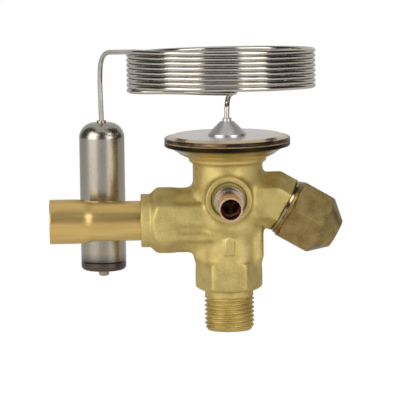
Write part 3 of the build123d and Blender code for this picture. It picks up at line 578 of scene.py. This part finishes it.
blank = merged(node["valve_body"].data)
joined = bmesh.new()
joined.from_mesh(blank)
for side, height in [(s, h) for s in (-1, 1) for h in rib_heights]:
    middle = Vector((rib_start + rib_length / 2, side * rib_depth, outlet_height + height))
    bmesh.ops.create_cone(
        joined, cap_ends=True, segments=24, radius1=rib_r * MM, radius2=rib_r * MM,
        depth=rib_length * MM,
        matrix=Matrix.Translation(middle * MM) @ Matrix.Rotation(math.radians(90), 4, "Y"),
    )
joined.to_mesh(blank)
joined.free()
body_mesh = remeshed(blank, voxel)
smooth_all(body_mesh, forged_share, blend_passes, edge_passes_at)
thinned = bpy.data.objects.new("thinned", body_mesh)
scene.collection.objects.link(thinned)
fewer = thinned.modifiers.new("fewer", "DECIMATE")
fewer.ratio = body_triangles / (2 * len(body_mesh.polygons))
body_mesh = bpy.data.meshes.new_from_object(
    thinned.evaluated_get(bpy.context.evaluated_depsgraph_get())
)
bpy.data.objects.remove(thinned)

body_copy = bmesh.new()
body_copy.from_mesh(body_mesh)
plain_wall = [
    face
    for face in body_copy.faces
    if max(v.co.z for v in face.verts) < (thread_foot - skin) * MM
    and min(Vector(v.co.xy).length for v in face.verts) > wall_inside * MM
]
bmesh.ops.delete(body_copy, geom=plain_wall, context="FACES")
for face in body_copy.faces:
    face.smooth = True


def thread_point(turn, height):
    """A point of the thread's surface: a rounded vee cut on a helix, running out at both ends."""
    phase = (height / thread_pitch - turn) % 1
    groove = thread_depth * min(1, groove_flat * (1 - abs(2 * phase - 1)) ** groove_round)
    run_out = min(1, max(0, (thread_top + run_out_length / 2 - height) / run_out_length))
    outside = thread_r
    if height < thread_lead:
        outside = thread_end_r + (thread_r - thread_end_r) * height / thread_lead
    if height > thread_top:
        outside = max(thread_relief_r, thread_r - (height - thread_top))
    floor_r = thread_end_r * (1 if height < skin else root_floor)
    r = max(floor_r, min(outside, thread_r - groove * run_out))
    angle = 2 * math.pi * turn
    return (r * math.cos(angle) * MM, r * math.sin(angle) * MM, height * MM)


end_ring = [
    body_copy.verts.new((
        (wall_inside - end_overlap) * math.cos(2 * math.pi * side / thread_sides) * MM,
        (wall_inside - end_overlap) * math.sin(2 * math.pi * side / thread_sides) * MM,
        0,
    ))
    for side in range(thread_sides)
]
rings = [end_ring] + [
    [
        body_copy.verts.new(
            thread_point(side / thread_sides, (thread_foot + skin) * row / thread_rows)
        )
        for side in range(thread_sides)
    ]
    for row in range(thread_rows + 1)
]
for lower, upper in zip(rings, rings[1:]):
    for side in range(thread_sides):
        after = (side + 1) % thread_sides
        quad = body_copy.faces.new((lower[side], lower[after], upper[after], upper[side]))
        quad.smooth = True
        quad.material_index = 1
body_copy.to_mesh(body_mesh)
body_copy.free()
body_mesh.materials.clear()
body_mesh.materials.append(forging)
body_mesh.materials.append(turned_brass)
body = bpy.data.objects.new("forged_body", body_mesh)
scene.collection.objects.link(body)
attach(body, "valve")
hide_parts("valve_body")
dress("valve_body", forging)

# Outlet tube: drawn copper alloy, swaged at the mouth to take a pipe, and brazed into the seat
# of the outlet. The swage runs into the tube in a flowing taper, without a step.
outlet_copper = metal(
    "drawn_copper_outlet", (0.68, 0.46, 0.15), (0.82, 0.59, 0.23), 0.36,
    grain_mm=0.35, drift_mm=2.5, edge_mm=0.2,
)
stretch_grain(outlet_copper, (0.12, 1, 1))
swage_low, swage_high = -48.5, -41.5
swage_fade = 1.0
swage_passes = 90
tube_voxel = 0.25


def swage_share(p):
    """The length over which the swage's steps are drawn into a flowing taper; p is in mm."""
    x = p[:, 0]
    return np.clip(np.minimum(x - swage_low, swage_high - x) / swage_fade, 0, 1)


tube_mesh = remeshed(merged(node["outlet_tube"].data), tube_voxel)
smooth_all(tube_mesh, swage_share, swage_passes)
tube_mesh.polygons.foreach_set("use_smooth", [True] * len(tube_mesh.polygons))
tube_mesh.materials.clear()
tube_mesh.materials.append(outlet_copper)
tube = bpy.data.objects.new("swaged_outlet_tube", tube_mesh)
scene.collection.objects.link(tube)
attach(tube, "valve")
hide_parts("outlet_tube")
dress("outlet_tube", outlet_copper)

# Equaliser stub: bare copper tube, pink beside the brass, with a steel ferrule brazed round its
# foot. Both have a fine round at their edges.
stub_copper = metal(
    "drawn_copper_stub", (0.74, 0.42, 0.27), (0.90, 0.62, 0.46), 0.26, grain_mm=0.3, drift_mm=2.0,
    edge_mm=0.12,
)
dress("equalizer_tube", stub_copper)
ferrule_steel = metal(
    "ferrule_steel", (0.46, 0.42, 0.34), (0.62, 0.58, 0.49), 0.24, grain_mm=0.25, drift_mm=1.5,
    edge_mm=0.15,
)
dress("equalizer_ferrule", ferrule_steel)

# Power element: two stainless pressings welded at the rim. The weld's heat leaves straw and
# brown rings on the upper cover. The near-black in the groove at the rim and under the rim is
# painted shade.
cover_steel = metal(
    "cover_steel", (0.72, 0.69, 0.65), (0.84, 0.81, 0.77), 0.20, grain_mm=0.4, drift_mm=9.0,
    edge_mm=0.2,
)
# The last two stops are painted shade: the cover's edge turns near-black in the groove at the rim.
tint(cover_steel, (0, 0, 0), "radius", [
    (0.0, (1, 1, 1)),
    (14.0, (1, 0.99, 0.96)),
    (17.0, (0.98, 0.90, 0.74)),
    (18.8, (0.90, 0.74, 0.48)),
    (19.5, (0.50, 0.34, 0.20)),
    (19.9, (0.06, 0.04, 0.03)),
])
dress("element_upper_cover", cover_steel)
rim_steel = metal(
    "rim_steel_scale_and_painted_shade", (0.52, 0.46, 0.31), (0.64, 0.57, 0.39), 0.30, grain_mm=0.3, drift_mm=6.0,
    edge_mm=0.2,
)
# Painted shade: from r 18.2 outward the lower cover and diaphragm turn near-black, the rim's
# shaded underside.
tint(rim_steel, (0, 0, 0), "radius", [
    (15.0, (1, 1, 1)),
    (17.4, (0.90, 0.82, 0.68)),
    (18.2, (0.10, 0.08, 0.06)),
    (20.2, (0.03, 0.025, 0.02)),
])
dress("element_lower_cover", rim_steel)
dress("diaphragm", rim_steel)

# Rim weld: the row of small overlapping puddles where covers and diaphragm are joined. Each is
# drawn out a little differently, and the heat has left them brown.
weld_count = 230
weld_ring_r = 19.58
weld_bead_r = 0.38
weld_level = 60.375
weld_seed = 7
smallest_bead, largest_bead = (0.8, 0.8, 1.0), (1.1, 1.1, 1.35)
weld_steel = metal(
    "weld_scale", (0.22, 0.15, 0.08), (0.34, 0.24, 0.13), 0.3, grain_mm=0.2, drift_mm=1.5,
)
weld_tree = bpy.data.node_groups.new("rim_weld", "GeometryNodeTree")
for label, kind in (
    ("Count", "NodeSocketInt"),
    ("Ring Radius", "NodeSocketFloat"),
    ("Bead Radius", "NodeSocketFloat"),
    ("Seed", "NodeSocketInt"),
    ("Material", "NodeSocketMaterial"),
):
    weld_tree.interface.new_socket(label, in_out="INPUT", socket_type=kind)
weld_tree.interface.new_socket("Geometry", in_out="OUTPUT", socket_type="NodeSocketGeometry")
weld_in = weld_tree.nodes.new("NodeGroupInput")
weld_out = weld_tree.nodes.new("NodeGroupOutput")
ring = weld_tree.nodes.new("GeometryNodeMeshCircle")
bead = weld_tree.nodes.new("GeometryNodeMeshIcoSphere")
bead.inputs["Subdivisions"].default_value = 2
row = weld_tree.nodes.new("GeometryNodeInstanceOnPoints")
vary = weld_tree.nodes.new("FunctionNodeRandomValue")
vary.data_type = "FLOAT_VECTOR"
vary.inputs["Min"].default_value = smallest_bead
vary.inputs["Max"].default_value = largest_bead
real = weld_tree.nodes.new("GeometryNodeRealizeInstances")
paint_weld = weld_tree.nodes.new("GeometryNodeSetMaterial")
for source, target in (
    (weld_in.outputs["Count"], ring.inputs["Vertices"]),
    (weld_in.outputs["Ring Radius"], ring.inputs["Radius"]),
    (weld_in.outputs["Bead Radius"], bead.inputs["Radius"]),
    (weld_in.outputs["Seed"], vary.inputs["Seed"]),
    (weld_in.outputs["Material"], paint_weld.inputs["Material"]),
    (ring.outputs["Mesh"], row.inputs["Points"]),
    (bead.outputs["Mesh"], row.inputs["Instance"]),
    (vary.outputs["Value"], row.inputs["Scale"]),
    (row.outputs["Instances"], real.inputs["Geometry"]),
    (real.outputs["Geometry"], paint_weld.inputs["Geometry"]),
    (paint_weld.outputs["Geometry"], weld_out.inputs["Geometry"]),
):
    weld_tree.links.new(source, target)
weld = bpy.data.objects.new("rim_weld", bpy.data.meshes.new("weld_seed"))
scene.collection.objects.link(weld)
weld_maker = weld.modifiers.new("rim_weld", "NODES")
weld_maker.node_group = weld_tree
weld_values = {
    "Count": weld_count,
    "Ring Radius": weld_ring_r * MM,
    "Bead Radius": weld_bead_r * MM,
    "Seed": weld_seed,
    "Material": weld_steel,
}
for item in weld_tree.interface.items_tree:
    if item.name in weld_values:
        weld_maker[item.identifier] = weld_values[item.name]
weld_mesh = bpy.data.meshes.new_from_object(
    weld.evaluated_get(bpy.context.evaluated_depsgraph_get())
)
weld.modifiers.clear()
weld_mesh.transform(Matrix.Translation((0, 0, weld_level * MM)))
weld.data = weld_mesh
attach(weld, "valve")

# Boss: turned steel cone on the upper cover, paler than the tube, which the capillary is brazed
# into.
boss_steel = metal(
    "boss_steel", (0.68, 0.67, 0.65), (0.80, 0.79, 0.77), 0.38, grain_mm=0.3, drift_mm=2.0,
    edge_mm=0.12,
)
dress("capillary_boss", boss_steel)

# Sensing bulb: drawn steel can, brushed along its length, its dome left bright. The end weld
# leaves a blue and brown band over the seam.
bulb_steel = metal(
    "brushed_bulb_steel", (0.39, 0.36, 0.30), (0.47, 0.44, 0.38), 0.26,
    grain_mm=0.25, drift_mm=30.0,
)
stretch_grain(bulb_steel, (1, 1, 0.08))
tint(bulb_steel, (-39.9, 16.0, 0), 2, [
    (15.0, (1, 0.97, 0.92)),
    (16.6, (0.90, 0.84, 0.76)),
    (17.6, (0.34, 0.28, 0.25)),
    (20.3, (0.22, 0.20, 0.22)),
    (21.6, (0.62, 0.60, 0.66)),
    (23.5, (0.98, 0.92, 0.84)),
    (27.0, (1, 0.98, 0.95)),
    (55.0, (1, 0.98, 0.95)),
    (60.0, (1.0, 1.0, 1.0)),
])
dress("sensing_bulb", bulb_steel)

# Cap nut: turned from brass bar, darker than the forging; its fine tool rings are given as an even
# grain.
cap_brass = metal(
    "turned_cap_brass", (0.235, 0.16, 0.055), (0.41, 0.295, 0.12), 0.36,
    grain_mm=0.28, drift_mm=4.0, relief_mm=0.026, edge_mm=0.25, speckle=0.8,
)
dress("cap_nut", cap_brass)
ring_bronze = metal(
    "seal_ring_bronze", (0.24, 0.18, 0.10), (0.62, 0.50, 0.30), 0.16, 0.3, 2.0, edge_mm=0.1,
)
dress("cap_seal_ring", ring_bronze)

# Setting parts on the oblique axis, under the cap nut, and the seat and guide beside them: all
# turned brass, smoother than the forging.
works_brass = metal(
    "works_brass", (0.58, 0.43, 0.17), (0.72, 0.56, 0.26), 0.30, 0.35, 3.0, edge_mm=0.1,
)
for name in ("setting_spindle", "gland_nut", "adjusting_plunger", "spring_seat", "rod_guide"):
    dress(name, works_brass)

# Orifice cartridge, strainer and rod: brass sleeve and strainer, hardened steel seat and cone.
# The two springs are steel wire, which in the valve shortens when the rod set moves down; here
# each is copied into an object with a mesh of its own, and not moved.
for name in ("orifice_housing", "inlet_strainer"):
    dress(name, works_brass)
hard_steel = metal(
    "ground_steel", (0.42, 0.42, 0.42), (0.56, 0.55, 0.54), 0.18, 0.2, 2.0, edge_mm=0.08,
)
for name in ("orifice_seat", "valve_cone", "push_rod", "thrust_pad", "spring_retainer"):
    dress(name, hard_steel)
spring_steel = metal("spring_wire", (0.34, 0.34, 0.35), (0.48, 0.47, 0.46), 0.25, 0.3, 1.5)
for name in ("orifice_spring", "superheat_spring"):
    dress(name, spring_steel)
    coils = bpy.data.objects.new(name + "_coils", node[name].data.copy())
    scene.collection.objects.link(coils)
    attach(coils, "valve")
    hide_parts(name)
    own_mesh(coils)

# Seals: black rubber rings round the rod and the spindle, inside the body. The rubber is the
# metals' recipe without the metal.
rubber = metal(
    "seal_rubber", (0.012, 0.012, 0.012), (0.03, 0.03, 0.03), 0.6, 0.15, 1.0, relief_mm=0.01,
)
rubber.node_tree.nodes["Principled BSDF"].inputs["Metallic"].default_value = 0
for name in ("rod_seal", "spindle_seal"):
    dress(name, rubber)
